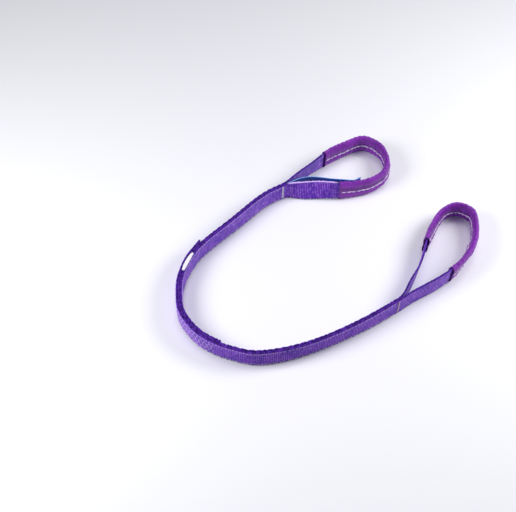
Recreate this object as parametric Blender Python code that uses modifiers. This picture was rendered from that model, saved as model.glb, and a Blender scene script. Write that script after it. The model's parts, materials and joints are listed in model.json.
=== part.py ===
"""Flat web sling, eye and eye, two plies, standing on the edge of its webbing.

One length of webbing is wound twice round a long loop. The middle of the loop is sewn
flat into a two-ply body, which leaves an eye at each end, and the webbing's two ends lie
over each other in a three-layer lap, past which the outer end is loose. A sewn sleeve
covers the crown of each eye, and a label leaf is sewn into the crotch of eye A.

Webbing bends anywhere. Here it bends on vertical axes at its crotches and at three places
along the body, so it is cut into stretches there, with HINGE_GAP of room to turn. +X and
+Y lie in the ground plane, +Z is up, and the webbing's width stands upright. Lengths
below are millimetres and angles are degrees until point() turns them into metres.
"""

import math

import bmesh
import bpy
import numpy as np
from mathutils import Matrix, Vector

MM = 0.001
COLLECTION = "flat_web_sling"

# Webbing
WEB_WIDTH = 30.0
PLY = 2.5                    # thickness of one layer of webbing
LAYER = 2.9                  # from the middle of one layer to the middle of the next

# Eye sleeve: a flat fabric tube round the webbing, sewn through along its middle
SLEEVE_WALL = 1.0
SLEEVE_HALF_HEIGHT = 15.9    # to the middle of the wall
SLEEVE_WAIST = 2.1           # half depth at the seam, to the middle of the wall
SLEEVE_ROLL = 3.0            # half depth of the rolls above and below the seam
# A quarter of the sleeve's section: height and half depth
SLEEVE_SECTION = [(0.0, SLEEVE_WAIST), (4.0, SLEEVE_ROLL), (11.5, SLEEVE_ROLL),
                  (14.6, 2.8), (SLEEVE_HALF_HEIGHT, 1.7)]

# Label leaf
LABEL_HEIGHT = 25.0
LABEL_THICKNESS = 0.8

# Thread
THREAD = 0.4                 # thickness of a row of stitches
THREAD_WIDTH = 1.0
CLEAR = 0.3                  # air between a row of stitches and the cloth under it
SEAM_HEIGHT = 11.5           # of the two body seams, above and below the mid line
ZIGZAG_HEIGHT = 8.5
ZIGZAG_STEP = 4.0
TACK_HALF_HEIGHT = 12.0
TACK_WIDTH = 2.4
TACK_SETBACK = 3.6           # from a crotch hinge to the middle of its tack

# Joints and mesh
HINGE_GAP = 4.0
SEAM_END = 1.5               # a seam stops this far before its webbing does
STEP = 8.0                   # length of a facet along a route
SHORTEST = 0.3               # the least share of STEP that a facet at an end may have
SAMPLE = 0.5                 # spacing of the points that a route is worked out at

# Routes: x, y and lean. Lean tips the webbing's top edge to the left of the way it runs.
CROTCH_A = (-64, 93)
CROTCH_A_HEADING = 31.0      # out of the body, towards the eye
CROTCH_B = (85, -103)
CROTCH_B_HEADING = 35.0

BODY_ROUTE = [
    (-84, 81, 0), (-112, 55, -2), (-139, 27, 0), (-166, 0, 0), (-182, -19, 0),
    (-193, -39, 0), (-199, -54, 0), (-204, -72, 0), (-204, -93, 0), (-201, -116, 0),
    (-192, -134, 0), (-171, -157, 0), (-144, -172, 0), (-110, -183, 0), (-78, -181, 0),
    (-47, -173, -2), (5, -151, -3), (58, -121, 0),
]
EYE_A_ROUTE = [
    (-44, 94, 10), (-10, 94, 16), (15, 93, 8), (34, 95, 2), (60, 102, 0), (80, 117, 0),
    (88, 134, 2), (87, 151, 4), (82, 166, 4), (71, 177, 3), (56, 184, 3), (38, 178, 2),
    (20, 168, 1), (4, 158, 1), (-11, 145, 3), (-27, 131, 7), (-48, 111, 4),
]
EYE_B_ROUTE = [
    (101, -93, 0), (129, -76, 0), (154, -59, -2), (173, -40, -9), (187, -21, -13),
    (195, -4, -10), (200, 12, -4), (202, 28, 0), (201, 44, 3), (192, 54, 6), (178, 58, 6),
    (164, 52, 4), (152, 39, 0), (142, 21, -3), (133, 2, -2), (126, -19, 4),
    (116, -47, 5), (100, -78, -1),
]
LABEL_ROUTE = [
    (-52, 100, 0), (-40, 106, 0), (-23, 109, 0), (2, 105, 4), (24, 102, 6), (40, 103, 2),
    (47, 107, 0),
]

# Places on the body
UPPER_BEND = (-169, -1)
LOWER_BEND = (-110, -183)
FAR_BEND = (-16, -161)
TAIL_ROOT = (-204, -72)
TAIL_END = (-175, -10)
LAP_END = (-148, -169)       # where the innermost layer stops
LAP_STEP = 24.0              # length over which the layers close up beside the lap

# A pale strip along the top edges of the plies beside the loose tail: where it stops
STRIP_ENDS = ((-188, -29), (-200, -58))

# How far the loose tail stands off the middle of the body: share of its length, offset
TAIL_BOW = [(0, 2.9), (0.2, 3.7), (0.35, 4.5), (0.6, 4.9), (0.8, 4.6), (1, 5.6)]

# Sleeve ends, as places on the eye routes
SLEEVE_A = ((15, 93), (-1, 153))
SLEEVE_B = ((156, -57), (128, -8))

COLOURS = {
    "webbing": ((0.128, 0.051, 0.361, 1.0), 0.75),
    "sleeve": ((0.202, 0.042, 0.361, 1.0), 0.62),
    "seam_thread": ((0.33, 0.20, 0.68, 1.0), 0.6),
    "white_thread": ((0.80, 0.72, 0.86, 1.0), 0.6),
    "pale_strip": ((0.85, 0.80, 0.84, 1.0), 0.7),
    "label": ((0.010, 0.060, 0.38, 1.0), 0.45),
}


def spline(points, start=None, end=None):
    """Dense points on a cubic spline: clamped to the given end slopes, else natural."""
    p = np.array(points, float)
    h = np.linalg.norm(np.diff(p[:, :2], axis=0), axis=1)
    n = len(p)
    m = np.zeros((n, n))
    r = np.zeros_like(p)
    for i in range(1, n - 1):
        m[i, i - 1:i + 2] = 1 / h[i - 1], 2 / h[i - 1] + 2 / h[i], 1 / h[i]
        r[i] = 3 * ((p[i] - p[i - 1]) / h[i - 1] ** 2 + (p[i + 1] - p[i]) / h[i] ** 2)
    m[0, :2] = (2, 1) if start is None else (1, 0)
    r[0] = 3 * (p[1] - p[0]) / h[0] if start is None else start
    m[-1, -2:] = (1, 2) if end is None else (0, 1)
    r[-1] = 3 * (p[-1] - p[-2]) / h[-1] if end is None else end
    slope = np.linalg.solve(m, r)
    out = []
    for i in range(n - 1):
        for t in np.linspace(0, 1, max(2, int(h[i] / SAMPLE)), endpoint=False):
            a, b = 1 - t, t
            out.append(a * a * (1 + 2 * b) * p[i] + b * b * (1 + 2 * a) * p[i + 1]
                       + h[i] * a * b * (a * slope[i] - b * slope[i + 1]))
    return np.array(out + [p[-1]])


def smoothstep(x, low, high):
    t = np.clip((x - low) / (high - low), 0.0, 1.0)
    return t * t * (3 - 2 * t)


class Route:
    """A line over the ground with a leaning section, read by its length from the start."""

    def __init__(self, points, start=None, end=None):
        p = spline(points, start, end)
        self.s = np.append(0, np.cumsum(np.linalg.norm(np.diff(p[:, :2], axis=0), axis=1)))
        self.xy = p[:, :2]
        self.lean = np.radians(p[:, 2])
        d = np.gradient(self.xy, self.s, axis=0)
        self.heading = np.unwrap(np.arctan2(d[:, 1], d[:, 0]))
        self.length = self.s[-1]
        self.half = lambda s: WEB_WIDTH / 2
        self.thick = lambda s: 1.5 * LAYER

    def nearest(self, place):
        return self.s[np.argmin(np.linalg.norm(self.xy - place, axis=1))]

    def point(self, s, height, left):
        """The point, in metres, at a height up the section and a distance to its left."""
        x, y = (np.interp(s, self.s, self.xy[:, k]) for k in (0, 1))
        heading, lean = np.interp(s, self.s, self.heading), np.interp(s, self.s, self.lean)
        side = Vector((-math.sin(heading), math.cos(heading), 0))
        up = Vector((0, 0, math.cos(lean))) + side * math.sin(lean)
        across = side * math.cos(lean) - Vector((0, 0, math.sin(lean)))
        z = self.half(s) * math.cos(lean) + self.thick(s) * abs(math.sin(lean))
        return (Vector((x, y, z)) + up * height + across * left) * MM


def body_route():
    a, b = (np.radians(h) for h in (CROTCH_A_HEADING, CROTCH_B_HEADING))
    points = [(*CROTCH_A, 0)] + BODY_ROUTE + [(*CROTCH_B, 0)]
    return Route(points, (-math.cos(a), -math.sin(a), 0), (math.cos(b), math.sin(b), 0))


def eye_route(crotch, heading, points, sleeve):
    """Out along the right-hand leg, round the eye and back, with room for the sleeve."""
    c, s = math.cos(math.radians(heading)), math.sin(math.radians(heading))
    right = np.array(crotch) + np.array((s, -c)) * LAYER / 2
    left = np.array(crotch) - np.array((s, -c)) * LAYER / 2
    route = Route([(*right, 0)] + points + [(*left, 0)], (c, s, 0), (-c, -s, 0))
    first, last = (STEP * round(route.nearest(place) / STEP) for place in sleeve)
    rise = lambda q: smoothstep(q, 0, first) - smoothstep(q, last, route.length)
    lift = SLEEVE_HALF_HEIGHT + SLEEVE_WALL / 2 - WEB_WIDTH / 2
    bulk = SLEEVE_ROLL + SLEEVE_WALL / 2
    route.half = lambda q: WEB_WIDTH / 2 + lift * rise(q)
    route.thick = lambda q: PLY / 2 + (bulk - PLY / 2) * rise(q)
    route.sleeve = first, last
    return route


def finish(name, bm, thickness, slot, body):
    """Turn an open surface into a solid node with an even thickness."""
    mesh = bpy.data.meshes.new(name)
    bm.to_mesh(mesh)
    bm.free()
    mesh.shade_smooth()
    mesh.materials.append(MATERIALS[slot])
    obj = bpy.data.objects.new(name, mesh)
    PARTS.objects.link(obj)
    solid = obj.modifiers.new("Thickness", "SOLIDIFY")
    solid.thickness = thickness * MM
    solid.offset = 0
    solid.use_even_offset = True
    obj.parent = BODIES[body]
    obj.matrix_parent_inverse = Matrix.Translation(-HINGES[body])
    return obj


def stations(start, end):
    """Where facets meet: every STEP from the route's start, so that layers stay parallel."""
    first = math.ceil(start / STEP + SHORTEST)
    last = math.floor(end / STEP - SHORTEST)
    return [start, *(STEP * k for k in range(first, last + 1)), end]


def grid(along, rows, place):
    """A sheet of quads: place(s, v) puts its corners, s from a list and v from 0 to 1."""
    bm = bmesh.new()
    bmesh.ops.create_grid(bm, x_segments=len(along) - 1, y_segments=rows, size=1.0)
    for v in bm.verts:
        v.co = place(along[round((v.co.x + 1) / 2 * (len(along) - 1))], (v.co.y + 1) / 2)
    return bm


def ribbon(name, route, start, end, offset, body, low=-WEB_WIDTH / 2, high=WEB_WIDTH / 2,
           thickness=PLY, slot="webbing", rows=1):
    """A flat band along a route, offset to its left by a number or by a function."""
    left = offset if callable(offset) else lambda s: offset

    def place(s, v):
        return route.point(s, low + (high - low) * v, left(s))

    return finish(name, grid(stations(start, end), rows, place), thickness, slot, body)


def seam(name, route, start, end, height, offset, body, slot="seam_thread"):
    """A row of stitches: a thin flat strip that runs along the cloth."""
    half = THREAD_WIDTH / 2
    return ribbon(name, route, start + SEAM_END, end - SEAM_END, offset, body,
                  height - half, height + half, THREAD, slot)


def seam_pair(prefix, route, start, end, offset, body):
    """The upper and lower body seams on one face."""
    for level, height in (("upper", SEAM_HEIGHT), ("lower", -SEAM_HEIGHT)):
        seam(f"{prefix}_{level}_seam", route, start, end, height, offset, body)


def sleeve(name, route, body):
    """The fabric tube over the crown of an eye, drawn in along its middle."""
    left_side = [(-h, d) for h, d in reversed(SLEEVE_SECTION[1:])] + SLEEVE_SECTION
    ring = left_side + [(h, -d) for h, d in reversed(left_side)]

    def place(s, v):
        return route.point(s, *ring[round(v * len(ring)) % len(ring)])

    bm = grid(stations(*route.sleeve), len(ring), place)
    bmesh.ops.remove_doubles(bm, verts=bm.verts, dist=1e-6)
    return finish(name, bm, SLEEVE_WALL, "sleeve", body)


def zigzag(name, route, start, end, offset, body):
    """Lap stitching: one strip that runs up and down the webbing's width."""
    corners = [start + ZIGZAG_STEP * k for k in range(int((end - start) / ZIGZAG_STEP) + 1)]
    mitre = THREAD_WIDTH * math.hypot(ZIGZAG_STEP, 2 * ZIGZAG_HEIGHT) / ZIGZAG_STEP

    def place(s, v):
        height = ZIGZAG_HEIGHT if corners.index(s) % 2 else -ZIGZAG_HEIGHT
        return route.point(s, height + mitre * (v - 0.5), offset)

    return finish(name, grid(corners, 1, place), THREAD, "seam_thread", body)


def tack(name, route, at, offset, body):
    """A bar of close stitches across the webbing at a crotch."""
    return ribbon(name, route, at - TACK_WIDTH / 2, at + TACK_WIDTH / 2, offset, body,
                  -TACK_HALF_HEIGHT, TACK_HALF_HEIGHT, THREAD, "white_thread")


def two_plies(body, start, end, tack_at_start=False, tack_at_end=False):
    """A stretch of plain body: its plies, and on both faces its seams, clear of a tack.

    The plies have three rows of facets, so that the middle row lies clear of the seams.
    """
    room = TACK_SETBACK + TACK_WIDTH / 2 - HINGE_GAP / 2
    first, last = start + room * tack_at_start, end - room * tack_at_end
    for side, sign in (("inner", 1), ("outer", -1)):
        ribbon(f"{body}_{side}_ply", SLING, start, end, sign * LAYER / 2, body, rows=3)
        seam_pair(f"{body}_{side}", SLING, first, last, sign * FACE_2, body)


def lap():
    """The three-layer lap round the bend, between the upper and lower body bends."""
    start, end = AT["upper_bend"] + HINGE_GAP / 2, AT["lower_bend"] - HINGE_GAP / 2
    tail, stop = AT["tail_root"], AT["lap_end"]
    spread = lambda s: smoothstep(s, tail - LAP_STEP, tail)
    close = lambda s: smoothstep(s, stop, stop + LAP_STEP)
    inner = lambda s: LAYER * (0.5 + 0.5 * spread(s))
    middle = lambda s: LAYER * (-0.5 + 0.5 * spread(s) + 0.5 * close(s))
    outer = lambda s: LAYER * (-1 + 0.5 * close(s))
    face = PLY / 2 + CLEAR + THREAD / 2
    ribbon("lap_inner_layer", SLING, start, stop, inner, "lap")
    ribbon("lap_middle_layer", SLING, start, end, middle, "lap")
    ribbon("lap_outer_layer", SLING, tail + HINGE_GAP / 2, end, outer, "lap")
    seam_pair("lap_inner", SLING, start, stop, lambda s: inner(s) + face, "lap")
    seam_pair("lap_outer", SLING, tail + HINGE_GAP / 2, end, lambda s: outer(s) - face, "lap")
    first = tail + HINGE_GAP
    zigzag("lap_inner_zigzag", SLING, first, stop - SEAM_END, LAYER + face, "lap")
    zigzag("lap_outer_zigzag", SLING, first, stop - SEAM_END, -LAYER - face, "lap")
    edge_strip(lambda s: inner(s) + PLY / 2)


def edge_strip(face):
    """A thin pale strip laid on the top edges of two plies, from their inner face out."""
    def place(s, v):
        return SLING.point(s, WEB_WIDTH / 2 + CLEAR + THREAD / 2, face(s) - v * (LAYER + PLY))

    strip = grid(stations(*(SLING.nearest(end) for end in STRIP_ENDS)), 1, place)
    finish("lap_edge_strip", strip, THREAD, "pale_strip", "lap")


def loose_tail():
    """The webbing's outer end, loose from the lap's root on, and close to the body."""
    start, end = AT["tail_end"], AT["tail_root"] - HINGE_GAP / 2
    bow = spline([(share * (end - start), off, 0) for share, off in TAIL_BOW])
    ribbon("tail_web", SLING, start, end,
           lambda s: -np.interp(end - s, bow[:, 0], bow[:, 1]), "tail")


def eye(letter, route):
    """One eye: its loop of webbing, its sleeve and the sleeve's stitches."""
    body = f"eye_{letter}"
    ribbon(f"{body}_web", route, HINGE_GAP / 2, route.length - HINGE_GAP / 2, 0.0, body)
    sleeve(f"{body}_sleeve", route, body)
    face = SLEEVE_WAIST + SLEEVE_WALL / 2 + CLEAR + THREAD / 2
    for side, sign in (("inner", 1), ("outer", -1)):
        seam(f"{body}_sleeve_{side}_stitch", route, *route.sleeve, 0.0, sign * face, body,
             "white_thread")


def crotch_tacks():
    for letter, at in (("a", TACK_SETBACK), ("b", SLING.length - TACK_SETBACK)):
        body = "upper_body" if letter == "a" else "far_body"
        for side, sign in (("inner", 1), ("outer", -1)):
            tack(f"crotch_{letter}_{side}_tack", SLING, at, sign * FACE_2, body)


def label():
    route = Route(LABEL_ROUTE)
    ribbon("label_leaf", route, 0, route.length, 0.0, "label",
           -LABEL_HEIGHT / 2, LABEL_HEIGHT / 2, LABEL_THICKNESS, "label")


def make_materials():
    out = {}
    for name, (colour, roughness) in COLOURS.items():
        material = bpy.data.materials.new(name)
        material.use_nodes = True
        shader = material.node_tree.nodes["Principled BSDF"]
        shader.inputs["Base Color"].default_value = colour
        shader.inputs["Roughness"].default_value = roughness
        shader.inputs["Metallic"].default_value = 0.0
        out[name] = material
    return out


def make_bodies():
    """An empty on each joint's axis, under the empty of the body that it turns on."""
    parents = {"lap": None, "upper_body": "lap", "eye_a": "upper_body", "label": "eye_a",
               "tail": "lap", "lower_body": "lap", "far_body": "lower_body",
               "eye_b": "far_body"}
    empties = {}
    for name, parent in parents.items():
        empty = bpy.data.objects.new(f"{name}_pivot", None)
        empty.empty_display_size = 10 * MM
        PARTS.objects.link(empty)
        above = HINGES[parent] if parent else Vector()
        empty.location = HINGES[name] - above
        empty.parent = empties[parent] if parent else None
        empties[name] = empty
    return empties


def hinge_on(route, s):
    return Vector((*(np.interp(s, route.s, route.xy[:, k]) for k in (0, 1)), 0)) * MM


for old in list(bpy.data.objects):
    bpy.data.objects.remove(old)
PARTS = bpy.data.collections.new(COLLECTION)
bpy.context.scene.collection.children.link(PARTS)

SLING = body_route()
EYE_A = eye_route(CROTCH_A, CROTCH_A_HEADING, EYE_A_ROUTE, SLEEVE_A)
EYE_B = eye_route(CROTCH_B, CROTCH_B_HEADING, EYE_B_ROUTE, SLEEVE_B)
FACE_2 = LAYER / 2 + PLY / 2 + CLEAR + THREAD / 2
AT = {name: SLING.nearest(place) for name, place in (
    ("upper_bend", UPPER_BEND), ("lower_bend", LOWER_BEND), ("far_bend", FAR_BEND),
    ("tail_root", TAIL_ROOT), ("tail_end", TAIL_END), ("lap_end", LAP_END))}
HINGES = {
    "lap": Vector(),
    "upper_body": hinge_on(SLING, AT["upper_bend"]),
    "eye_a": hinge_on(SLING, 0),
    "label": Vector((*LABEL_ROUTE[0][:2], 0)) * MM,
    "tail": hinge_on(SLING, AT["tail_root"]),
    "lower_body": hinge_on(SLING, AT["lower_bend"]),
    "far_body": hinge_on(SLING, AT["far_bend"]),
    "eye_b": hinge_on(SLING, SLING.length),
}
MATERIALS = make_materials()
BODIES = make_bodies()

half_gap = HINGE_GAP / 2
two_plies("upper_body", half_gap, AT["upper_bend"] - half_gap, tack_at_start=True)
lap()
loose_tail()
two_plies("lower_body", AT["lower_bend"] + half_gap, AT["far_bend"] - half_gap)
two_plies("far_body", AT["far_bend"] + half_gap, SLING.length - half_gap, tack_at_end=True)
eye("a", EYE_A)
eye("b", EYE_B)
crotch_tacks()
label()
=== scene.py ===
"""Looks of the flat web sling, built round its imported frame.

Routes, heights and offsets are millimetres, as in the frame's own source, and turn into
metres where points are made. A place on the sling is a length along a route, a height up
the webbing from its middle, and a distance to the route's left.
"""

import json
import math

import bpy
import numpy as np
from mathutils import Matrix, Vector, noise

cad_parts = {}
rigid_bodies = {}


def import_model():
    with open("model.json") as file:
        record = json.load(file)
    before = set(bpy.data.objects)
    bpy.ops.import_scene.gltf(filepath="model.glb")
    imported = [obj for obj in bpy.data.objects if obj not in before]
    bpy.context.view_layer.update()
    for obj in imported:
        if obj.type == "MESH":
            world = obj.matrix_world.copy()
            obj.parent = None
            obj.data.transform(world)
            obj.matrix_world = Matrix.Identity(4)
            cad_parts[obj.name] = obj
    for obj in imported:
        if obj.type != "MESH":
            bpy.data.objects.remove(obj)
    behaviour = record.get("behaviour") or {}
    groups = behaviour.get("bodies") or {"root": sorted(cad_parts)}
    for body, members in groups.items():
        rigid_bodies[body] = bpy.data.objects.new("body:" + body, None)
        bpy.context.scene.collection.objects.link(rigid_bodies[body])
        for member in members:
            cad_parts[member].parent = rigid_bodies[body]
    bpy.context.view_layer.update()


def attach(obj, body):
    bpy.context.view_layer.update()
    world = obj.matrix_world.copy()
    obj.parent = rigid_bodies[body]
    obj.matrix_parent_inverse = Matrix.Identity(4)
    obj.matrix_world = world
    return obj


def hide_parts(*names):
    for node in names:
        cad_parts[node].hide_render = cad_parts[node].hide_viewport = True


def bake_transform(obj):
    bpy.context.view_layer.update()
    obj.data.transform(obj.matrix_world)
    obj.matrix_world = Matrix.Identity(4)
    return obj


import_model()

MM = 0.001

# The frame's own sizes
WEB_WIDTH = 30.0
PLY = 2.5
LAYER = 2.9
SLEEVE_WALL = 1.0
SLEEVE_HALF_HEIGHT = 15.9
SLEEVE_ROLL = 3.0
LABEL_HEIGHT = 25.0
SEAM_HEIGHT = 11.5
ZIGZAG_HEIGHT = 8.5
TACK_HALF_HEIGHT = 12.0
LAP_STEP = 24.0
STEP = 8.0                   # the sleeves start and stop on whole steps along their routes
SAMPLE = 0.5                 # from one point of a route to the next

CROTCH_A = (-64, 93)
CROTCH_A_HEADING = 31.0
CROTCH_B = (85, -103)
CROTCH_B_HEADING = 35.0
BODY_ROUTE = [
    (-84, 81, 0), (-112, 55, -2), (-139, 27, 0), (-166, 0, 0), (-182, -19, 0),
    (-193, -39, 0), (-199, -54, 0), (-204, -72, 0), (-204, -93, 0), (-201, -116, 0),
    (-192, -134, 0), (-171, -157, 0), (-144, -172, 0), (-110, -183, 0), (-78, -181, 0),
    (-47, -173, -2), (5, -151, -3), (58, -121, 0),
]
EYE_A_ROUTE = [
    (-44, 94, 10), (-10, 94, 16), (15, 93, 8), (34, 95, 2), (60, 102, 0), (80, 117, 0),
    (88, 134, 2), (87, 151, 4), (82, 166, 4), (71, 177, 3), (56, 184, 3), (38, 178, 2),
    (20, 168, 1), (4, 158, 1), (-11, 145, 3), (-27, 131, 7), (-48, 111, 4),
]
EYE_B_ROUTE = [
    (101, -93, 0), (129, -76, 0), (154, -59, -2), (173, -40, -9), (187, -21, -13),
    (195, -4, -10), (200, 12, -4), (202, 28, 0), (201, 44, 3), (192, 54, 6), (178, 58, 6),
    (164, 52, 4), (152, 39, 0), (142, 21, -3), (133, 2, -2), (126, -19, 4),
    (116, -47, 5), (100, -78, -1),
]
LABEL_ROUTE = [
    (-60, 96, 0), (-52, 100, 0), (-40, 106, 0), (-23, 109, 0), (2, 105, 4), (24, 102, 6),
    (40, 103, 2), (47, 107, 0),
]
SLEEVE_A = ((15, 93), (-1, 153))
SLEEVE_B = ((156, -57), (128, -8))
UPPER_BEND = (-169, -1)
LOWER_BEND = (-110, -183)
FAR_BEND = (-16, -161)
TAIL_ROOT = (-204, -72)
TAIL_END = (-175, -10)
LAP_END = (-148, -169)
STRIP_ENDS = ((-188, -29), (-200, -58))
# How far the loose tail stands off the middle of the body: share of its length, offset
TAIL_BOW = [(0, 2.9), (0.2, 3.7), (0.35, 4.5), (0.6, 4.9), (0.8, 4.6), (1, 5.6)]

# Places where pieces of the webbing meet, between two bends
UPPER_CUT = 70.0
LAP_CUT = 262.0
LOWER_CUT = 431.0
FAR_CUT = 538.0

# Weave
RIB = 2.4                    # from one crosswise rib of the webbing to the next
RIB_DEPTH = 0.24
SCALLOP = 0.7                # how far the weft's loops stand out of the selvedge, one in
                             # every two ribs
PUCKER = 1.3                 # how far the stitching draws the selvedge in, now and then
PUCKER_PITCH = 8.6
PROUD = 0.5                  # how far the upper selvedge stands over the nominal width
SEAM_GROOVE = 0.25
STATIONS_PER_RIB = 4
YARN = 1.15                  # from one lengthwise yarn to the next
# A corner of the webbing's section: height and half thickness, as shares of the full ones
SELVEDGE = [(0.55, 1.0), (0.70, 1.0), (0.767, 0.98), (0.83, 1.0), (0.885, 0.93),
            (0.93, 1.02), (0.965, 0.98), (0.988, 0.78), (1.0, 0.40)]

# Thread
SEAM_STITCH = (4.6, 3.7)     # pitch and length of the body seams' stitches
SLEEVE_STITCH = (7.0, 7.5)   # the same of the sleeves' stitches, which meet end to end
SLEEVE_STITCH_HEIGHT = -2.5
SEAM_THREAD = 0.46           # radius
SLEEVE_THREAD = 0.88
TACK_THREAD = 0.45
TACK_SETBACK = 2.2           # from the crotch to the middle of its tack
TACK_BARS = 27
TACK_REACH = 1.5             # half the length of a bar, and half its slant
TACK_SLANT = 0.45
STITCH_RINGS = 7
STITCH_SIDES = 8

# Soft skins
SLEEVE_SKIN = 0.9
SLEEVE_COLUMNS = 72
SLEEVE_CREASE = 5.0          # height of the fold along a sleeve's outer face
LABEL_SKIN = 0.7
LABEL_GRID = (96, 16)
STRIP_SKIN = 0.35
STRIP_HEIGHT = 15.15         # over the webbing's middle

# How far the cloth bends on each side of a hinge
BEND_REACH = 15
CROTCH_REACH = 12


# ---------------------------------------------------------------- routes

def spline(points, start=None, end=None):
    """Dense points on a cubic spline: clamped to the given end slopes, else natural."""
    p = np.array(points, float)
    h = np.linalg.norm(np.diff(p[:, :2], axis=0), axis=1)
    n = len(p)
    m = np.zeros((n, n))
    r = np.zeros_like(p)
    for i in range(1, n - 1):
        m[i, i - 1:i + 2] = 1 / h[i - 1], 2 / h[i - 1] + 2 / h[i], 1 / h[i]
        r[i] = 3 * ((p[i] - p[i - 1]) / h[i - 1] ** 2 + (p[i + 1] - p[i]) / h[i] ** 2)
    m[0, :2] = (2, 1) if start is None else (1, 0)
    r[0] = 3 * (p[1] - p[0]) / h[0] if start is None else start
    m[-1, -2:] = (1, 2) if end is None else (0, 1)
    r[-1] = 3 * (p[-1] - p[-2]) / h[-1] if end is None else end
    slope = np.linalg.solve(m, r)
    out = []
    for i in range(n - 1):
        for t in np.linspace(0, 1, max(2, int(h[i] / SAMPLE)), endpoint=False):
            a, b = 1 - t, t
            out.append(a * a * (1 + 2 * b) * p[i] + b * b * (1 + 2 * a) * p[i + 1]
                       + h[i] * a * b * (a * slope[i] - b * slope[i + 1]))
    return np.array(out + [p[-1]])


def smoothstep(x, low, high):
    t = np.clip((x - low) / (high - low), 0.0, 1.0)
    return t * t * (3 - 2 * t)


class Route:
    """A line over the ground with a leaning section, read by its length from the start."""

    def __init__(self, points, start=None, end=None):
        p = spline(points, start, end)
        self.s = np.append(0, np.cumsum(np.linalg.norm(np.diff(p[:, :2], axis=0), axis=1)))
        self.xy = p[:, :2]
        self.lean = np.radians(p[:, 2])
        d = np.gradient(self.xy, self.s, axis=0)
        self.heading = np.unwrap(np.arctan2(d[:, 1], d[:, 0]))
        self.length = self.s[-1]
        self.half = lambda s: WEB_WIDTH / 2
        self.thick = lambda s: 1.5 * LAYER

    def nearest(self, place):
        return self.s[np.argmin(np.linalg.norm(self.xy - place, axis=1))]

    def frames(self, s, left=0.0):
        """Middle, up and left at each length in s, for a layer offset to the left."""
        s = np.atleast_1d(np.asarray(s, float))
        heading, lean = (np.interp(s, self.s, k)[:, None] for k in (self.heading, self.lean))
        side = np.hstack([-np.sin(heading), np.cos(heading), 0 * heading])
        level = np.array([[0.0, 0.0, 1.0]])
        up = level * np.cos(lean) + side * np.sin(lean)
        across = side * np.cos(lean) - level * np.sin(lean)
        z = self.half(s) * np.cos(lean[:, 0]) + self.thick(s) * abs(np.sin(lean[:, 0]))
        middle = np.stack([*(np.interp(s, self.s, self.xy[:, k]) for k in (0, 1)), z], 1)
        return middle + across * np.broadcast_to(left, s.shape)[:, None], up, across

    def points(self, s, height, left):
        """Points in metres, one for each length in s."""
        middle, up = self.frames(s, left)[:2]
        return (middle + up * np.broadcast_to(height, middle.shape[:1])[:, None]) * MM


def body_route():
    a, b = (np.radians(h) for h in (CROTCH_A_HEADING, CROTCH_B_HEADING))
    points = [(*CROTCH_A, 0)] + BODY_ROUTE + [(*CROTCH_B, 0)]
    return Route(points, (-math.cos(a), -math.sin(a), 0), (math.cos(b), math.sin(b), 0))


def eye_route(crotch, heading, points, ends):
    """Out along the right-hand leg, round the eye and back, with room for the sleeve."""
    c, s = math.cos(math.radians(heading)), math.sin(math.radians(heading))
    right = np.array(crotch) + np.array((s, -c)) * LAYER / 2
    left = np.array(crotch) - np.array((s, -c)) * LAYER / 2
    route = Route([(*right, 0)] + points + [(*left, 0)], (c, s, 0), (-c, -s, 0))
    first, last = (STEP * round(route.nearest(place) / STEP) for place in ends)
    rise = lambda q: smoothstep(q, 0, first) - smoothstep(q, last, route.length)
    lift = SLEEVE_HALF_HEIGHT + SLEEVE_WALL / 2 - WEB_WIDTH / 2
    bulk = SLEEVE_ROLL + SLEEVE_WALL / 2
    route.half = lambda q: WEB_WIDTH / 2 + lift * rise(q)
    route.thick = lambda q: PLY / 2 + (bulk - PLY / 2) * rise(q)
    route.sleeve = first, last
    return route


SLING = body_route()
EYE_A = eye_route(CROTCH_A, CROTCH_A_HEADING, EYE_A_ROUTE, SLEEVE_A)
EYE_B = eye_route(CROTCH_B, CROTCH_B_HEADING, EYE_B_ROUTE, SLEEVE_B)
LABEL = Route(LABEL_ROUTE)
AT = {name: SLING.nearest(place) for name, place in (
    ("upper_bend", UPPER_BEND), ("lower_bend", LOWER_BEND), ("far_bend", FAR_BEND),
    ("tail_root", TAIL_ROOT), ("tail_end", TAIL_END), ("lap_end", LAP_END))}


def spread(s):
    return smoothstep(s, AT["tail_root"] - LAP_STEP, AT["tail_root"])


def close(s):
    return smoothstep(s, AT["lap_end"], AT["lap_end"] + LAP_STEP)


def inner_layer(s):
    return LAYER * (0.5 + 0.5 * spread(s))


def middle_layer(s):
    return LAYER * (-0.5 + 0.5 * spread(s) + 0.5 * close(s))


def outer_layer(s):
    """The outermost layer, which is the loose tail before the tail's root."""
    bow = spline([(share * (AT["tail_root"] - AT["tail_end"]), off, 0)
                  for share, off in TAIL_BOW])
    loose = -np.interp(AT["tail_root"] - s, bow[:, 0], bow[:, 1])
    return np.where(s < AT["tail_root"], loose, LAYER * (-1 + 0.5 * close(s)))


def inner_face(s):
    """The side of the body that looks into the sling's bend."""
    return np.where(s < AT["lap_end"], inner_layer(s), middle_layer(s)) + PLY / 2


def outer_face(s):
    """The other side of the body, under the loose tail where there is one."""
    return np.where(s < AT["tail_root"], middle_layer(s), outer_layer(s)) - PLY / 2


# ---------------------------------------------------------------- joints

def across_bend(place, still_side, moving_side):
    """Where a blend starts and ends, at two distances past a place on the body."""
    return [Vector(SLING.points(AT[place] + d, 0.0, 0.0)[0]) for d in (still_side, moving_side)]


def across_crotch(crotch, heading):
    out = Vector((math.cos(math.radians(heading)), math.sin(math.radians(heading)), 0))
    at = Vector((*crotch, WEB_WIDTH / 2))
    return [(at + out * d) * MM for d in (-CROTCH_REACH, CROTCH_REACH)]


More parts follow.
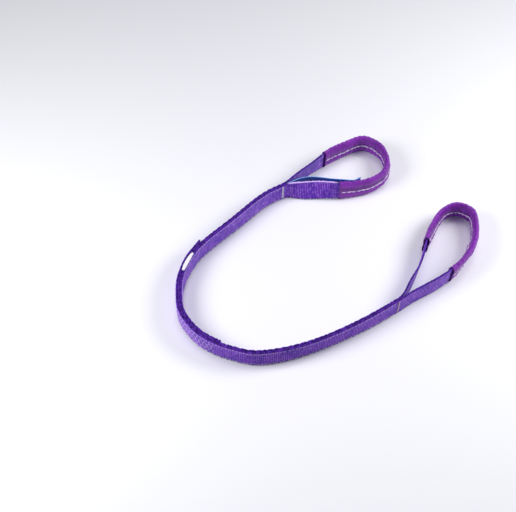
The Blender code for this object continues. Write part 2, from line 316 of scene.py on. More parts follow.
BLENDS = {
    "upper_bend": ("lap", "upper_body", *across_bend("upper_bend", BEND_REACH, -BEND_REACH)),
    "lower_bend": ("lap", "lower_body", *across_bend("lower_bend", -BEND_REACH, BEND_REACH)),
    "far_bend": ("lower_body", "far_body", *across_bend("far_bend", -BEND_REACH, BEND_REACH)),
    "tail_flap": ("lap", "tail", *across_bend("tail_root", 1, -16)),
    "eye_a_swing": ("upper_body", "eye_a", *across_crotch(CROTCH_A, CROTCH_A_HEADING)),
    "eye_b_swing": ("far_body", "eye_b", *across_crotch(CROTCH_B, CROTCH_B_HEADING)),
    "label_flap": ("eye_a", "label", *(Vector(p) * MM for p in ((-55, 98, 15), (-40, 106, 15)))),
}


def place_piece(obj, joint, material, stands_for=()):
    """Bakes a piece that spans a joint into world space, or rides it on the body of that name,
    and dresses it.
    """
    obj.data.materials.append(material)
    if joint in BLENDS:
        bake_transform(obj)
    else:
        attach(obj, joint)
    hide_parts(*stands_for)


# ---------------------------------------------------------------- meshes

def add_mesh(name, points, faces, uv=None, sharp=50.0):
    """An object from points in metres, smooth but for edges sharper than an angle."""
    mesh = bpy.data.meshes.new(name)
    mesh.from_pydata(points.tolist(), [], faces)
    if uv is not None:
        layer = mesh.uv_layers.new(name="cloth")
        corner = np.zeros(len(mesh.loops), np.int32)
        mesh.loops.foreach_get("vertex_index", corner)
        layer.data.foreach_set("uv", uv[corner].astype(np.float32).ravel())
    mesh.update()
    mesh.shade_smooth()
    mesh.set_sharp_from_angle(angle=math.radians(sharp))
    obj = bpy.data.objects.new(name, mesh)
    bpy.context.scene.collection.objects.link(obj)
    return obj


def tube_faces(rows, columns, capped=True):
    """Faces of a grid of points that closes on itself across its columns."""
    i, j = np.meshgrid(np.arange(rows - 1), np.arange(columns), indexing="ij")
    k = (j + 1) % columns
    quads = np.stack([i * columns + j, (i + 1) * columns + j,
                      (i + 1) * columns + k, i * columns + k], -1).reshape(-1, 4)
    faces = quads.tolist()
    if capped:
        last = (rows - 1) * columns
        faces.append(list(range(columns)))
        faces.append([last + c for c in reversed(range(columns))])
    return faces


# ---------------------------------------------------------------- webbing

def wind():
    """The whole webbing, wound as it was sewn: frames, and each stretch's part of it."""
    legs = [
        ("inner", SLING, AT["lap_end"], 0.0, inner_layer),
        ("eye_a", EYE_A, 0.0, EYE_A.length, None),
        ("middle", SLING, 0.0, SLING.length, middle_layer),
        ("eye_b", EYE_B, EYE_B.length, 0.0, None),
        ("outer", SLING, SLING.length, AT["tail_end"], outer_layer),
    ]
    found, marks = [], {}
    for name, route, start, end, offset in legs:
        s = np.linspace(start, end, int(abs(end - start) / SAMPLE))
        middle, up, across = route.frames(s, 0.0 if offset is None else offset(s))
        if end < start:
            across = -across
        begin = sum(len(f[0]) for f in found)
        found.append((middle, up, across))
        marks[name] = (begin, s)
    middle, up, across = (np.concatenate([f[k] for f in found]) for k in range(3))
    u = np.append(0, np.cumsum(np.linalg.norm(np.diff(middle, axis=0), axis=1)))
    return middle, up, across, u, marks


MIDDLE, UP, ACROSS, LENGTH_ALONG, MARKS = wind()


def along(leg, s):
    """How far along the webbing a place on one of its stretches is, on a whole station."""
    begin, places = MARKS[leg]
    u = LENGTH_ALONG[begin + np.argmin(abs(places - s))]
    station = RIB / STATIONS_PER_RIB
    return station * round(u / station)


def web_section():
    """Shares of the height and half thickness, up the webbing's left and down its right."""
    left = [(-h, t) for h, t in reversed(SELVEDGE)]
    left += [(-0.28, 1.0), (0.0, 1.0), (0.28, 1.0), *SELVEDGE]
    return np.array(left + [(h, -t) for h, t in reversed(left)])


def webbing(name, first, last, joint, stands_for, sealed=(False, False)):
    """A piece of the webbing between two lengths: ribs, selvedge loops and seam grooves."""
    station = RIB / STATIONS_PER_RIB
    u = np.arange(round(first / station), round(last / station) + 1) * station
    u = np.clip(u, 0, LENGTH_ALONG[-1])
    middle, up, across = (np.stack([np.interp(u, LENGTH_ALONG, a[:, k]) for k in range(3)], 1)
                          for a in (MIDDLE, UP, ACROSS))
    section = web_section()
    height, side = section[:, 0], section[:, 1]
    sewn = sewn_share(u)
    rib = 0.5 + 0.5 * np.cos(2 * math.pi * u / RIB)
    loops = 0.5 + 0.5 * np.cos(math.pi * u / RIB)
    wander = np.array([noise.noise(Vector((a * 0.03, 5.0, 0.0))) for a in u])
    drawn = (0.5 - 0.5 * np.cos(2 * math.pi * u / PUCKER_PITCH + 9 * wander)) ** 2
    edge = smoothstep(abs(height), 0.86, 0.99)
    groove = np.exp(-((abs(height) * WEB_WIDTH / 2 - SEAM_HEIGHT) / 0.7) ** 2)
    drift = np.array([[noise.noise(Vector((a * 0.035, h * 0.9, b * 1.7)))
                       for h, b in zip(height, np.sign(side))] for a in u[::8]])
    drift = np.stack([np.interp(u, u[::8], drift[:, k]) for k in range(len(height))], 1)
    worn = (1 - loops) * SCALLOP + drawn * (0.4 + 0.6 * sewn) * PUCKER
    worn = worn[:, None] - PROUD * (height > 0)[None, :]
    up_share = height[None, :] * (1 - worn * edge[None, :] / (WEB_WIDTH / 2))
    thin = (PLY / 2 - (1 - rib[:, None]) * RIB_DEPTH * (1 - 0.6 * edge[None, :])
            - sewn[:, None] * groove[None, :] * SEAM_GROOVE + 0.14 * drift)
    h = up_share * WEB_WIDTH / 2
    t = thin * side[None, :]
    for at, is_sealed in zip((0, -1), sealed):
        if is_sealed:
            t[at] *= 0.55
            h[at] *= 0.985
    points = (middle[:, None] + up[:, None] * h[..., None] + across[:, None] * t[..., None]) * MM
    uv = np.stack(np.broadcast_arrays(u[:, None] * MM, h * MM), -1).reshape(-1, 2)
    obj = add_mesh(name, points.reshape(-1, 3), tube_faces(len(u), len(section)), uv)
    place_piece(obj, joint, WEBBING, stands_for)


def sewn_share(u):
    """1 where the webbing is part of the sewn body, and 0 in the eyes and the tail."""
    out = np.zeros_like(u)
    for leg in ("inner", "middle", "outer"):
        begin, places = MARKS[leg]
        lengths = LENGTH_ALONG[begin:begin + len(places)]
        s = np.interp(u, lengths, places)
        here = (u >= lengths[0]) & (u <= lengths[-1])
        loose = (leg == "outer") & (s < AT["tail_root"])
        out = np.where(here & ~loose, 1.0, out)
    return out


def all_webbing():
    cut = {
        "end": 0.0,
        "upper_in": along("inner", UPPER_CUT), "upper_out": along("middle", UPPER_CUT),
        "lap_in": along("middle", LAP_CUT), "lower_in": along("middle", LOWER_CUT),
        "far_in": along("middle", FAR_CUT), "far_out": along("outer", FAR_CUT),
        "lower_out": along("outer", LOWER_CUT), "lap_out": along("outer", LAP_CUT),
        "tip": LENGTH_ALONG[-1],
    }
    rows = [
        ("webbing_lap_inner", "end", "upper_in", "upper_bend", ["lap_inner_layer"]),
        ("webbing_eye_a", "upper_in", "upper_out", "eye_a_swing",
         ["eye_a_web", "upper_body_inner_ply"]),
        ("webbing_upper_outer", "upper_out", "lap_in", "upper_bend", ["upper_body_outer_ply"]),
        ("webbing_lap_middle", "lap_in", "lower_in", "lower_bend", ["lap_middle_layer"]),
        ("webbing_far_inner", "lower_in", "far_in", "far_bend", ["lower_body_inner_ply"]),
        ("webbing_eye_b", "far_in", "far_out", "eye_b_swing",
         ["eye_b_web", "far_body_inner_ply"]),
        ("webbing_far_outer", "far_out", "lower_out", "far_bend", ["far_body_outer_ply"]),
        ("webbing_lower_outer", "lower_out", "lap_out", "lower_bend",
         ["lower_body_outer_ply", "lap_outer_layer"]),
        ("webbing_tail", "lap_out", "tip", "tail_flap", ["tail_web"]),
    ]
    for name, first, last, joint, stands_for in rows:
        webbing(name, cut[first], cut[last], joint, stands_for,
                (first == "end", last == "tip"))


# ---------------------------------------------------------------- thread

def stitches(name, starts, ends, normals, radius, joint, slot, material, stands_for=(),
             sink=0.55, rise=0.35):
    """Separate stitches, each an arched capsule that dives into the cloth at its ends."""
    starts, ends, normals = (np.array(a, float) for a in (starts, ends, normals))
    run = ends - starts
    length = np.linalg.norm(run, axis=1)
    run /= length[:, None]
    side = np.cross(normals, run)
    t = np.linspace(0, 1, STITCH_RINGS)
    shape = np.sqrt(np.clip(1 - (2 * t - 1) ** 4, 0.05, 1))
    lift = radius * (rise - (sink + rise) * (2 * t - 1) ** 4)
    angle = 2 * math.pi * np.arange(STITCH_SIDES) / STITCH_SIDES
    ring = radius * shape[:, None]
    points = (starts[:, None, None] + run[:, None, None] * (t[None, :, None, None]
              * length[:, None, None, None])
              + normals[:, None, None] * (lift[:, None] + ring * np.sin(angle))[None, ..., None]
              + side[:, None, None] * (ring * np.cos(angle))[None, ..., None])
    one = tube_faces(STITCH_RINGS, STITCH_SIDES)
    count = STITCH_RINGS * STITCH_SIDES
    faces = [[v + k * count for v in f] for k in range(len(starts)) for f in one]
    uv = np.stack(np.broadcast_arrays(
        t[None, :, None] * length[:, None, None], angle[None, None, :] * radius), -1)
    obj = add_mesh(name, points.reshape(-1, 3), faces, uv.reshape(-1, 2), 80.0)
    place_piece(obj, joint, material, stands_for)


def row(route, start, end, pitch, length, height, face, sign):
    """Starts, ends and normals of a row of stitches; face tells how far left they lie."""
    count = max(1, int((end - start) / pitch))
    s = start + (end - start - count * pitch) / 2 + pitch * np.arange(count)
    s = s + (pitch - length) / 2
    wander = 0.35 * np.array([noise.noise(Vector((k * 0.31, height, sign))) for k in s])
    a = route.points(s, height + wander, face(s))
    b = route.points(s + length, height + wander, face(s + length))
    normals = route.frames(s + length / 2)[2] * sign
    return a, b, normals


def joined(rows):
    return [np.concatenate(k) for k in zip(*rows)]


def seam_nodes(face, *stretches):
    return [f"{stretch}_{face}_{level}_seam" for stretch in stretches
            for level in ("upper", "lower")]


def body_seams():
    """Two rows of stitches on each face of the body, in a piece for each joint."""
    clear = TACK_SETBACK + 3.0
    pieces = [
        ("eye_a_swing", clear, UPPER_CUT, ["upper_body"], ["upper_body"]),
        ("upper_bend", UPPER_CUT, LAP_CUT, ["lap"], []),
        ("lower_bend", LAP_CUT, LOWER_CUT, [], ["lap"]),
        ("far_bend", LOWER_CUT, FAR_CUT, ["lower_body"], ["lower_body"]),
        ("eye_b_swing", FAR_CUT, SLING.length - clear, ["far_body"], ["far_body"]),
    ]
    pitch, length = SEAM_STITCH
    for joint, start, end, inner, outer in pieces:
        for face, sign, offset, nodes in (("inner", 1, inner_face, inner),
                                          ("outer", -1, outer_face, outer)):
            rows = [row(SLING, start, end, pitch, length, height, offset, sign)
                    for height in (SEAM_HEIGHT, -SEAM_HEIGHT)]
            stitches(f"seam_{joint}_{face}", *joined(rows), SEAM_THREAD * MM, joint,
                     "seam_thread", SEAM, seam_nodes(face, *nodes))


def zigzags():
    """Two crossing zigzags through the three layers of the lap, on both faces."""
    first, last = AT["tail_root"] + 6.0, AT["lap_end"] - 4.0
    step, parts = 6.0, 4
    for face, sign, offset in (("inner", 1, inner_face), ("outer", -1, outer_face)):
        starts, ends, normals = [], [], []
        count = int((last - first) / step)
        for phase in (1, -1):
            for k in range(count):
                high = ZIGZAG_HEIGHT * phase * (-1) ** k
                for part in range(parts):
                    q = (part + 0.08) / parts, (part + 0.92) / parts
                    s = [first + step * (k + x) for x in q]
                    h = [high * (1 - 2 * x) for x in q]
                    starts.append(SLING.points(s[0], h[0], offset(s[0]))[0])
                    ends.append(SLING.points(s[1], h[1], offset(s[1]))[0])
                    normals.append(SLING.frames(s[0])[2][0] * sign)
        stitches(f"zigzag_{face}", starts, ends, normals, SEAM_THREAD * MM, "lap",
                 "seam_thread", SEAM, [f"lap_{face}_zigzag"])


def tacks():
    """A bar of close zigzag stitches across the webbing at each crotch, on both faces."""
    for letter, at, joint in (("a", TACK_SETBACK, "eye_a_swing"),
                              ("b", SLING.length - TACK_SETBACK, "eye_b_swing")):
        for face, sign, offset in (("inner", 1, inner_face), ("outer", -1, outer_face)):
            heights = np.linspace(-TACK_HALF_HEIGHT, TACK_HALF_HEIGHT, TACK_BARS)
            ragged = [1.1 * noise.noise(Vector((k * 0.7, at, sign))) for k in heights]
            a, b = (SLING.points([at + w * (TACK_REACH + r) for r in ragged],
                                 heights + w * TACK_SLANT,
                                 offset(np.full(TACK_BARS, at)))
                    for w in (-1, 1))
            normals = SLING.frames(np.full(TACK_BARS, at))[2] * sign
            stitches(f"tack_{letter}_{face}", a, b, normals, TACK_THREAD * MM, joint,
                     "white_thread", TACK if letter == "a" else TACK_B,
                     [f"crotch_{letter}_{face}_tack"], 0.3, 0.6)


def edge_strip():
    """A strip of pale tape over the upper edges of the body's two plies, beside the tail."""
    first, last = (SLING.nearest(place) for place in STRIP_ENDS)
    s = np.arange(first, last, 0.6)
    taper = np.sqrt(1 - 0.75 * abs(2 * (s - first) / (last - first) - 1) ** 3)
    middle = (inner_layer(s) + middle_layer(s)) / 2
    left = middle + (inner_layer(s) + PLY / 2 - 0.2 - middle) * taper
    right = middle + (middle_layer(s) - PLY / 2 - middle) * taper
    rows = []
    for share in np.linspace(0, 1, 9):
        crown = 1 - (2 * share - 1) ** 4
        ruffle = np.array([0.22 * noise.noise(Vector((q * 0.5, share * 2, 7.0))) for q in s])
        rows.append((left + (right - left) * share,
                     STRIP_HEIGHT + 0.55 * crown + ruffle * crown))
    rows += [(across, height - STRIP_SKIN) for across, height in reversed(rows)]
    points = np.stack([SLING.points(s, height, across) for across, height in rows], 1)
    uv = np.stack([np.stack([s, across], 1) for across, _ in rows], 1) * MM
    obj = add_mesh("edge_strip", points.reshape(-1, 3), tube_faces(len(s), len(rows)),
                   uv.reshape(-1, 2))
    place_piece(obj, "lap", STRIP, ["lap_edge_strip"])


# ---------------------------------------------------------------- sleeves

def sleeve_bend(route):
    """Lengths over a sleeve, a millimetre apart, and how sharply its route turns there."""
    first, last = route.sleeve
    s = np.linspace(first, last, int(last - first) + 1)
    bend = np.gradient(np.interp(s, route.s, route.heading), s)
    return s, np.convolve(bend, np.ones(9) / 9, "same")


def sleeve_depth(height, s, side, bend, route):
    """Half depth of a sleeve: two soft rolls, drawn in at the stitches, with wrinkles."""
    share = abs(height) / SLEEVE_HALF_HEIGHT
    roll = (SLEEVE_ROLL + 0.35) * math.sqrt(max(0.0, 1 - share ** 5))
    pitch = SLEEVE_STITCH[0]
    first, last = route.sleeve
    pucker = 0.35 * math.cos(2 * math.pi * (s - first) / pitch)
    drawn = (1.45 - pucker) * math.exp(-((height - SLEEVE_STITCH_HEIGHT / 2) / 3.6) ** 2)
    crush = max(0.0, side * bend) * 26
    fold = noise.noise(Vector((s * 0.11, height * 0.035, side * 3.1 + first)))
    small = noise.noise(Vector((s * 0.33, height * 0.10, side * 5.3 + last)))
    swell = noise.noise(Vector((s * 0.035, height * 0.02, side + 9.0)))
    wrinkle = (1.0 + crush) * fold + (0.6 + 0.8 * crush) * small + 0.6 * swell
    if side < 0:
        drawn += 0.9 * math.exp(-(height - SLEEVE_CREASE) ** 2)
    return max(1.75, roll - drawn + wrinkle * (1 - share ** 4))


def sleeve(letter, route):
    """The fabric tube over an eye's crown: an open skin with a wall, puffed and wrinkled."""
    first, last = route.sleeve
    s, bend = sleeve_bend(route)
    middle, up, across = route.frames(s)
    points, uv, outer = [], [], []
    for i, q in enumerate(s):
        end = min(q - first, last - q)
        flare = 0.5 * math.exp(-end / 2.5)
        sag = 0.5 * noise.noise(Vector((q * 0.06, 2.0, first)))
        for j in range(SLEEVE_COLUMNS):
            angle = 2 * math.pi * j / SLEEVE_COLUMNS
            up_share, out_share = math.sin(angle), math.cos(angle)
            height = math.copysign(abs(up_share) ** 0.62, up_share) * SLEEVE_HALF_HEIGHT
            side = 1 if out_share >= 0 else -1
            depth = sleeve_depth(height, q, side, bend[i], route) + flare
            out = depth * math.copysign(min(1.0, abs(out_share) ** 0.45 + 1e-4), out_share)
            gather = 1.2 * (0.5 - 0.5 * math.cos(2 * math.pi * (q - first) / SLEEVE_STITCH[0]))
            gather += 2.2 * max(0.0, noise.noise(Vector((q * 0.16, 8.0, up_share))))
            height -= gather * up_share * (abs(height) / SLEEVE_HALF_HEIGHT) ** 4
            height += (sag + flare) * (abs(height) / SLEEVE_HALF_HEIGHT) ** 3 * 0.6
            height = min(max(height, 0.15 - route.half(q)), SLEEVE_HALF_HEIGHT + 1.0)
            points.append((middle[i] + up[i] * height + across[i] * out) * MM)
            uv.append(((q - first) * MM, height * MM))
            outer.append(0.5 - 0.5 * side)
    obj = add_mesh(f"sleeve_{letter}", np.array(points),
                   tube_faces(len(s), SLEEVE_COLUMNS, capped=False), np.array(uv), 75.0)
    outer_face = obj.data.attributes.new("outer_face", "FLOAT", "POINT")
    outer_face.data.foreach_set("value", outer)
    wall = obj.modifiers.new("Wall", "SOLIDIFY")
    wall.thickness = SLEEVE_SKIN * MM
    wall.offset = -1
    place_piece(obj, f"eye_{letter}", SLEEVE, [f"eye_{letter}_sleeve"])


def sleeve_stitches(letter, route):
    """The white running stitch along the middle of a sleeve, on both faces."""
    first, last = route.sleeve
    pitch, length = SLEEVE_STITCH
    s, bend = sleeve_bend(route)
    for face, sign in (("inner", 1), ("outer", -1)):
        def depth(q):
            """The cloth's crest within half a stitch, so that no stitch is buried."""
            places = np.atleast_1d(q)[:, None] + np.linspace(-length / 2, length / 2, 7)
            return sign * np.array([
                max(sleeve_depth(SLEEVE_STITCH_HEIGHT, x, sign, np.interp(x, s, bend), route)
                    for x in near) for near in places])
        lines = row(route, first + 2, last - 2, pitch, length, SLEEVE_STITCH_HEIGHT, depth, sign)
        stitches(f"sleeve_stitch_{letter}_{face}", *lines, SLEEVE_THREAD * MM,
                 f"eye_{letter}", "white_thread", WHITE,
                 [f"eye_{letter}_sleeve_{face}_stitch"], 0.15, 0.7)


# ---------------------------------------------------------------- label

def label():
    """The blank label leaf: a thin bowed cloth whose upper edge rises at its tip."""
    rows, columns = LABEL_GRID
    s = np.linspace(0, LABEL.length, rows)
    middle, up, across = LABEL.frames(s)
    points, uv = [], []
    for i, q in enumerate(s):
        tip = smoothstep(q, LABEL.length - 12, LABEL.length)
        for j in range(columns):
            share = 2 * j / (columns - 1) - 1
            height = share * LABEL_HEIGHT / 2 + 1.6 * tip * max(0.0, share)
            ripple = 0.5 * noise.noise(Vector((q * 0.05, share * 1.3, 4.0)))
            cup = 0.6 * (1 - share * share) * smoothstep(q, 6, 30)
            free = smoothstep(q, 4, 20)
            points.append((middle[i] + up[i] * height + across[i] * (ripple + cup) * free) * MM)
            uv.append((q * MM, height * MM))
    i, j = np.meshgrid(np.arange(rows - 1), np.arange(columns - 1), indexing="ij")
    quads = np.stack([i * columns + j, (i + 1) * columns + j,
                      (i + 1) * columns + j + 1, i * columns + j + 1], -1).reshape(-1, 4)
    obj = add_mesh("label", np.array(points), quads.tolist(), np.array(uv), 75.0)
    wall = obj.modifiers.new("Thickness", "SOLIDIFY")
    wall.thickness = LABEL_SKIN * MM
    wall.offset = 0
    place_piece(obj, "label_flap", LABEL_CLOTH, ["label_leaf"])


# ---------------------------------------------------------------- materials

class Nodes:
    """A material's node tree, built by calls that return sockets."""

    def __init__(self, name, constants):
        self.material = bpy.data.materials.new(name)
        self.material.use_nodes = True
        self.tree = self.material.node_tree
        self.shader = self.tree.nodes["Principled BSDF"]
        for socket, value in constants.items():
            self.shader.inputs[socket].default_value = value

    def add(self, kind, inputs, **settings):
        node = self.tree.nodes.new(kind)
        for key, value in settings.items():
            setattr(node, key, value)
        for key, value in inputs.items():
            if isinstance(value, bpy.types.NodeSocket):
                self.tree.links.new(value, node.inputs[key])
            else:
                node.inputs[key].default_value = value
        return node

    def math(self, operation, a, b=0.0):
        return self.add("ShaderNodeMath", {0: a, 1: b}, operation=operation).outputs[0]

    def length_and_height(self):
        """Metres along the cloth and up it."""
        uv = self.add("ShaderNodeUVMap", {}, uv_map="cloth")
        parts = self.add("ShaderNodeSeparateXYZ", {0: uv.outputs[0]})
        return parts.outputs[0], parts.outputs[1]

    def ridges(self, at, pitch, shift=0.0):
        """0 to 1, with a crest at each whole multiple of a pitch in millimetres."""
        turns = self.math("MULTIPLY", at, 2 * math.pi / (pitch * MM))
        wave = self.math("COSINE", self.math("ADD", turns, shift))
        return self.math("ADD", self.math("MULTIPLY", wave, 0.5), 0.5)

    def noise(self, scale, detail=2.0, roughness=0.5, vector=None):
        inputs = {"Scale": scale, "Detail": detail, "Roughness": roughness}
        inputs["Vector"] = vector or self.add("ShaderNodeTexCoord", {}).outputs["Object"]
        return self.add("ShaderNodeTexNoise", inputs).outputs[0]

    def ramp(self, value, low, high, bottom=0.0, top=1.0):
        return self.add("ShaderNodeMapRange", {
            "Value": value, "From Min": low, "From Max": high, "To Min": bottom,
            "To Max": top}, interpolation_type="SMOOTHSTEP").outputs[0]

    def mix(self, share, a, b):
        node = self.add("ShaderNodeMix", {}, data_type="RGBA")
        for key, value in ((0, share), (6, a), (7, b)):
            if isinstance(value, bpy.types.NodeSocket):
                self.tree.links.new(value, node.inputs[key])
            else:
                node.inputs[key].default_value = value
        return node.outputs[2]

    def finish(self, colour, roughness=None, height=None, strength=1.0, distance=0.2):
        self.tree.links.new(colour, self.shader.inputs["Base Color"])
        if roughness is not None:
            self.tree.links.new(roughness, self.shader.inputs["Roughness"])
        if height is not None:
            bump = self.add("ShaderNodeBump", {"Height": height, "Strength": strength,
                                               "Distance": distance * MM})
            self.tree.links.new(bump.outputs[0], self.shader.inputs["Normal"])
        return self.material


# Lengths along the webbing between which its upper selvedge is painted pale, a painted
# highlight: eye A's near leg
SELVEDGE_HIGHLIGHT_START, SELVEDGE_HIGHLIGHT_END = ((along("eye_a", a), along("eye_a", b)) for a, b in ((4, 10), (70, 82)))


def webbing_material():
    """Ribbed violet webbing: yarns over each rib with painted shade between them, mottling, dark
    selvedges that are partly painted shade, and a pale stretch that is a painted highlight.
    """
    n = Nodes("violet_webbing", {"Sheen Weight": 0.08, "Sheen Roughness": 0.4,
                                 "Sheen Tint": (0.75, 0.6, 1.0, 1.0),
                                 "Specular IOR Level": 0.5, "Anisotropic": 0.9,
                                 "Anisotropic Rotation": 0.25})
    grain = n.add("ShaderNodeTangent", {}, direction_type="UV_MAP", uv_map="cloth")
    n.tree.links.new(grain.outputs[0], n.shader.inputs["Tangent"])
    u, v = n.length_and_height()
    rib = n.ridges(u, RIB)
    index = n.math("FLOOR", n.math("ADD", n.math("DIVIDE", u, RIB * MM), 0.5))
    yarn = n.ridges(v, YARN, n.math("MULTIPLY", index, math.pi))
    weave = n.math("MULTIPLY", n.ramp(rib, 0.1, 0.9), n.ramp(yarn, 0.0, 0.8, 0.35, 1.0))
    rib_place = n.add("ShaderNodeCombineXYZ", {0: n.math("MULTIPLY", index, 0.37),
                                               1: n.math("MULTIPLY", v, 60.0)})
    shade = n.noise(1.0, 1.0, 0.5, rib_place.outputs[0])
    patches = n.noise(42.0, 3.0)
    streaks = n.noise(260.0, 3.0, 0.6)
    tone = n.math("ADD", n.math("MULTIPLY", patches, 0.55), n.math("MULTIPLY", shade, 0.45))
    light = n.mix(n.ramp(tone, 0.40, 0.60), (0.170, 0.028, 0.67, 1), (0.43, 0.118, 1.0, 1))
    lit = n.mix(n.ramp(streaks, 0.48, 0.64, 0.0, 0.7), light, (0.74, 0.38, 1.0, 1))
    lit = n.mix(n.ramp(streaks, 0.48, 0.34, 0.0, 0.8), lit, (0.085, 0.012, 0.39, 1))
    # The gaps between the ribs and between the yarns take a darker colour: painted shade in the
    # weave's recesses, with the crests as the lit colour.
    shaded = n.mix(weave, (0.062, 0.009, 0.30, 1), lit)
    # The selvedges are darkened: partly for the selvedge's own weave, partly as painted shade
    # from the gaps between the layers.
    edge = n.ramp(n.math("ABSOLUTE", v), 0.0127, 0.0138)
    selvedge_tone_and_shade = n.mix(n.ramp(streaks, 0.40, 0.60), (0.030, 0.006, 0.15, 1), (0.095, 0.022, 0.36, 1))
    colour = n.mix(n.math("MULTIPLY", edge, 0.95), shaded, selvedge_tone_and_shade)
    # A painted highlight: the upper selvedge turns pale over a stretch of eye A's near leg.
    pale = n.math("MULTIPLY", n.ramp(u, *(a * MM for a in SELVEDGE_HIGHLIGHT_START)),
                  n.ramp(u, *(a * MM for a in SELVEDGE_HIGHLIGHT_END), 1.0, 0.0))
    colour = n.mix(n.math("MULTIPLY", pale, n.ramp(v, 0.0132, 0.0142)), colour,
                   (0.62, 0.42, 0.88, 1))
    n.tree.links.new(n.math("SUBTRACT", 0.5, n.math("MULTIPLY", edge, 0.42)),
                     n.shader.inputs["Specular IOR Level"])
    rough = n.ramp(streaks, 0.3, 0.7, 0.52, 0.66)
    return n.finish(colour, rough, weave, 0.8, 0.28)


def sleeve_material():
    """Magenta-violet sleeve cloth: fine weave with painted highlights on the yarn crests, soft
    sheen, and painted shade in its folds, along its stitch groove and in its mouths.
    """
    n = Nodes("sleeve_cloth", {"Sheen Weight": 0.12, "Sheen Roughness": 0.35,
                               "Sheen Tint": (1.0, 0.5, 1.0, 1.0),
                               "Specular IOR Level": 0.35})
    u, v = n.length_and_height()
    warp, weft = n.ridges(u, 0.9), n.ridges(v, 0.9)
    weave = n.math("MAXIMUM", warp, weft)
    patches = n.noise(45.0, 3.0)
    base = n.mix(n.ramp(patches, 0.35, 0.68), (0.150, 0.009, 0.30, 1), (0.245, 0.024, 0.44, 1))
    # A painted highlight: the crests of the yarns are lighter.
    colour = n.mix(n.math("MULTIPLY", weave, 0.35), base, (0.33, 0.060, 0.54, 1))
    # Painted shade: a darker band in the groove along the stitch line, and on the outer face in
    # the fold above it.
    seam = n.ramp(n.math("ABSOLUTE", n.math("SUBTRACT", v, 0.001)), 0.0004, 0.0034, 0.4, 0.0)
    outer = n.add("ShaderNodeAttribute", {}, attribute_name="outer_face").outputs["Fac"]
    from_crease = n.math("ABSOLUTE", n.math("SUBTRACT", v, SLEEVE_CREASE * MM))
    crease_shade = n.ramp(from_crease, 0.0006, 0.0020, 0.9, 0.0)
    seam = n.math("MAXIMUM", seam, n.math("MULTIPLY", crease_shade, outer))
    # Painted shade: the sleeve darkens at both ends, inside its open mouths.
    first, last = EYE_A.sleeve
    length = (last - first) * MM
    mouth_shade = n.math("ADD", n.ramp(u, length - 0.0015, length - 0.0005, 0.0, 0.75),
                   n.ramp(u, 0.0006, 0.0012, 0.45, 0.0))
    colour = n.mix(n.math("MAXIMUM", seam, mouth_shade), colour, (0.060, 0.004, 0.13, 1))
    rough = n.ramp(patches, 0.3, 0.7, 0.38, 0.55)
    return n.finish(colour, rough, weave, 0.5, 0.12)


def thread_material(name, dark, light, sheen):
    """Twisted sewing thread: slanting strands along each stitch, with painted shade in the
    grooves between them.
    """
    n = Nodes(name, {"Sheen Weight": sheen, "Specular IOR Level": 0.4})
    u, v = n.length_and_height()
    strand = n.ridges(n.math("ADD", u, n.math("MULTIPLY", v, 0.8)), 0.8)
    grime = n.noise(300.0, 2.0)
    # The grooves between the strands take the dark colour as painted shade; the grime darkens
    # the thread at random.
    colour = n.mix(n.math("MULTIPLY", strand, n.ramp(grime, 0.3, 0.7, 0.6, 1.0)), dark, light)
    return n.finish(colour, n.ramp(grime, 0.3, 0.7, 0.5, 0.7), strand, 0.7, 0.15)


def label_material():
    """Blank navy label: satin weave, worn patches, a paler hem and light edges."""
    n = Nodes("label_cloth", {"Sheen Weight": 0.1, "Specular IOR Level": 0.5})
    u, v = n.length_and_height()
    weave = n.ridges(n.math("ADD", u, v), 0.7)
    wear = n.noise(90.0, 3.0)
    base = n.mix(n.ramp(wear, 0.3, 0.7), (0.006, 0.040, 0.42, 1), (0.012, 0.080, 0.62, 1))
    border = n.math("ABSOLUTE", v)
    hem = n.ramp(border, 0.0108, 0.0112)
    colour = n.mix(hem, base, (0.035, 0.13, 0.55, 1))
    rim = n.ramp(border, 0.0119, 0.0123)
    colour = n.mix(rim, colour, (0.22, 0.50, 0.95, 1))
    return n.finish(colour, n.ramp(wear, 0.3, 0.7, 0.35, 0.5), weave, 0.4, 0.1)


def tape_material():
    """Off-white woven tape, a little soiled, with painted shade between its yarns."""
    n = Nodes("pale_tape", {"Sheen Weight": 0.2, "Specular IOR Level": 0.3})
    u, v = n.length_and_height()
    weave = n.math("MULTIPLY", n.ridges(u, 0.8), n.ridges(v, 0.8))
    soil = n.noise(160.0, 3.0)
    base = n.mix(n.ramp(soil, 0.35, 0.7), (1.0, 0.98, 1.0, 1), (0.92, 0.88, 0.94, 1))
    # Painted shade: the gaps between the yarns are darker.
    colour = n.mix(n.ramp(weave, 0.0, 0.4), (0.80, 0.75, 0.84, 1), base)
    return n.finish(colour, n.ramp(soil, 0.3, 0.7, 0.6, 0.75), weave, 0.5, 0.15)


WEBBING = webbing_material()
SLEEVE = sleeve_material()
SEAM = thread_material("lilac_thread", (0.36, 0.22, 0.66, 1), (0.72, 0.54, 0.94, 1), 0.2)
WHITE = thread_material("white_thread", (0.90, 0.86, 0.93, 1), (1.0, 0.98, 1.0, 1), 0.4)
TACK = thread_material("tack_thread", (0.50, 0.44, 0.60, 1), (0.90, 0.86, 0.95, 1), 0.2)
TACK_B = thread_material("tack_thread_pink", (0.40, 0.24, 0.46, 1), (0.78, 0.55, 0.78, 1), 0.2)
LABEL_CLOTH = label_material()
STRIP = tape_material()


# ---------------------------------------------------------------- stage

def floor():
    """A wide pale floor, a hair under the frame."""
    bpy.ops.mesh.primitive_plane_add(size=60.0, location=(0, 0, -0.0002))
    plane = bpy.context.object
    plane.name = "floor"
    n = Nodes("pale_floor", {"Roughness": 0.65, "Specular IOR Level": 0.2})
    cloud = n.noise(1.6, 1.0)
    plane.data.materials.append(
        n.finish(n.mix(cloud, (0.90, 0.90, 0.94, 1), (0.93, 0.93, 0.96, 1))))


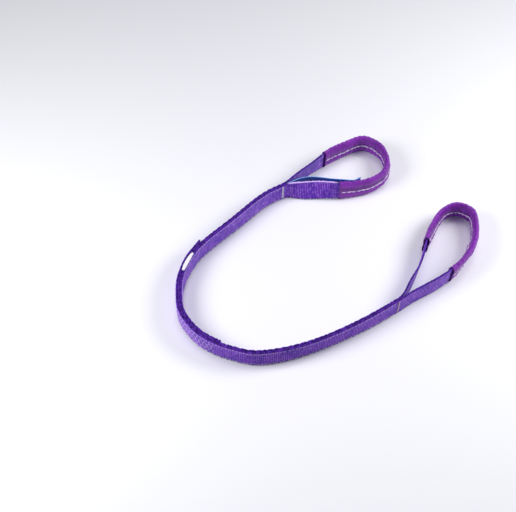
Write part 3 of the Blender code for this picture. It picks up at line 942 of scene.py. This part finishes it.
def aimed_light(name, kind, azimuth, elevation, distance, power):
    """A light that looks at the sling's middle."""
    a, e = math.radians(azimuth), math.radians(elevation)
    data = bpy.data.lights.new(name, kind)
    data.energy = power
    obj = bpy.data.objects.new(name, data)
    bpy.context.scene.collection.objects.link(obj)
    back = Vector((math.sin(a) * math.cos(e), -math.cos(a) * math.cos(e), math.sin(e)))
    obj.location = back * distance
    obj.rotation_mode = "QUATERNION"
    obj.rotation_quaternion = back.to_track_quat("Z", "Y")
    return obj


def area_light(name, azimuth, elevation, distance, size, power):
    """A soft square light, which fades with distance."""
    obj = aimed_light(name, "AREA", azimuth, elevation, distance, power)
    obj.data.shape = "SQUARE"
    obj.data.size = size
    return obj


def studio():
    """The lights. Two low ones reach only the pieces in the collection that it returns."""
    woven = bpy.data.collections.new("woven")
    world = bpy.data.worlds.new("studio")
    bpy.context.scene.world = world
    world.use_nodes = True
    world.node_tree.nodes["Background"].inputs[0].default_value = (0.85, 0.88, 1.0, 1)
    world.node_tree.nodes["Background"].inputs[1].default_value = 0.18
    area_light("left_light", -74, 40, 1.0, 0.45, 5.2)
    area_light("right_light", 98, 42, 1.0, 0.45, 6.2)
    sky = aimed_light("top_light", "SUN", 175, 77, 1.3, 0.69)
    sky.data.angle = math.radians(22)
    for name, azimuth, power in (("left_glow", -80, 5.2), ("right_glow", 82, 3.4)):
        glow = area_light(name, azimuth, 16, 1.2, 0.5, power)
        glow.light_linking.receiver_collection = woven
    bpy.context.scene.view_settings.view_transform = "Standard"
    return woven


def camera():
    """The view, from the front and above, at a place on the floor inside the bend."""
    aim_x, aim_y = -0.100, -0.012
    elevation, distance = math.radians(53.6), 1.388
    data = bpy.data.cameras.new("camera")
    data.lens = 70
    data.sensor_width = 36
    obj = bpy.data.objects.new("camera", data)
    bpy.context.scene.collection.objects.link(obj)
    obj.location = (aim_x, aim_y - distance * math.cos(elevation),
                    distance * math.sin(elevation))
    obj.rotation_euler = (math.pi / 2 - elevation, 0, 0)
    bpy.context.scene.camera = obj


camera()
floor()
webbing_and_seams = studio()
all_webbing()
body_seams()
zigzags()
for piece in bpy.context.scene.objects:
    if piece.name.startswith(("webbing", "seam", "zigzag")):
        webbing_and_seams.objects.link(piece)
tacks()
edge_strip()
for eye_letter, eye in (("a", EYE_A), ("b", EYE_B)):
    sleeve(eye_letter, eye)
    sleeve_stitches(eye_letter, eye)
label()
